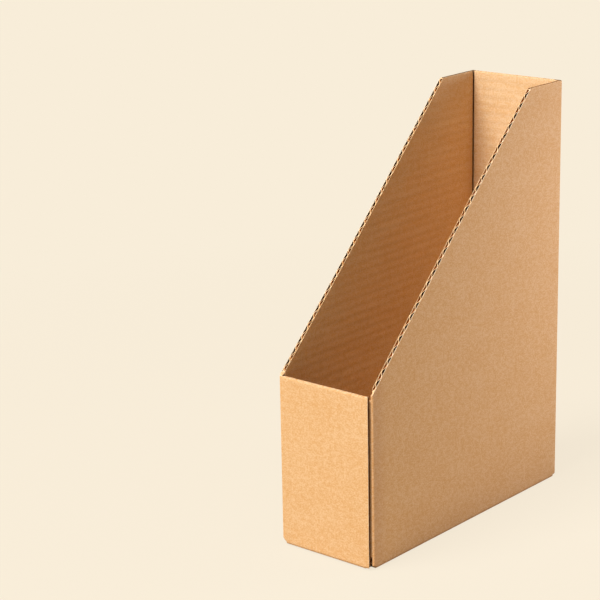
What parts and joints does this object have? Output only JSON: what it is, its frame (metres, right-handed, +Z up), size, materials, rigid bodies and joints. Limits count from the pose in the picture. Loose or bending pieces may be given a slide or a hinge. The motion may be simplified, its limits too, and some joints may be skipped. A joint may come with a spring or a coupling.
{
  "type": "corrugated cardboard magazine file",
  "caption": "Upright open-topped file of folded corrugated cardboard, with a low front, a full back and sides that slope between them, for standing magazines and papers.",
  "frame": {"origin": "middle of the outline in plan, on the surface that the file stands on", "axes": "+Z up, the low front panel faces -Y, the right-hand side wall with the glue tab's fold is at +X"},
  "size_m": [0.08, 0.228, 0.306],
  "materials": {
    "kraft_board": "matt"
  },
  "bodies": {
    "root": {"folded_sheet": "kraft_board"}
  },
  "joints": []
}
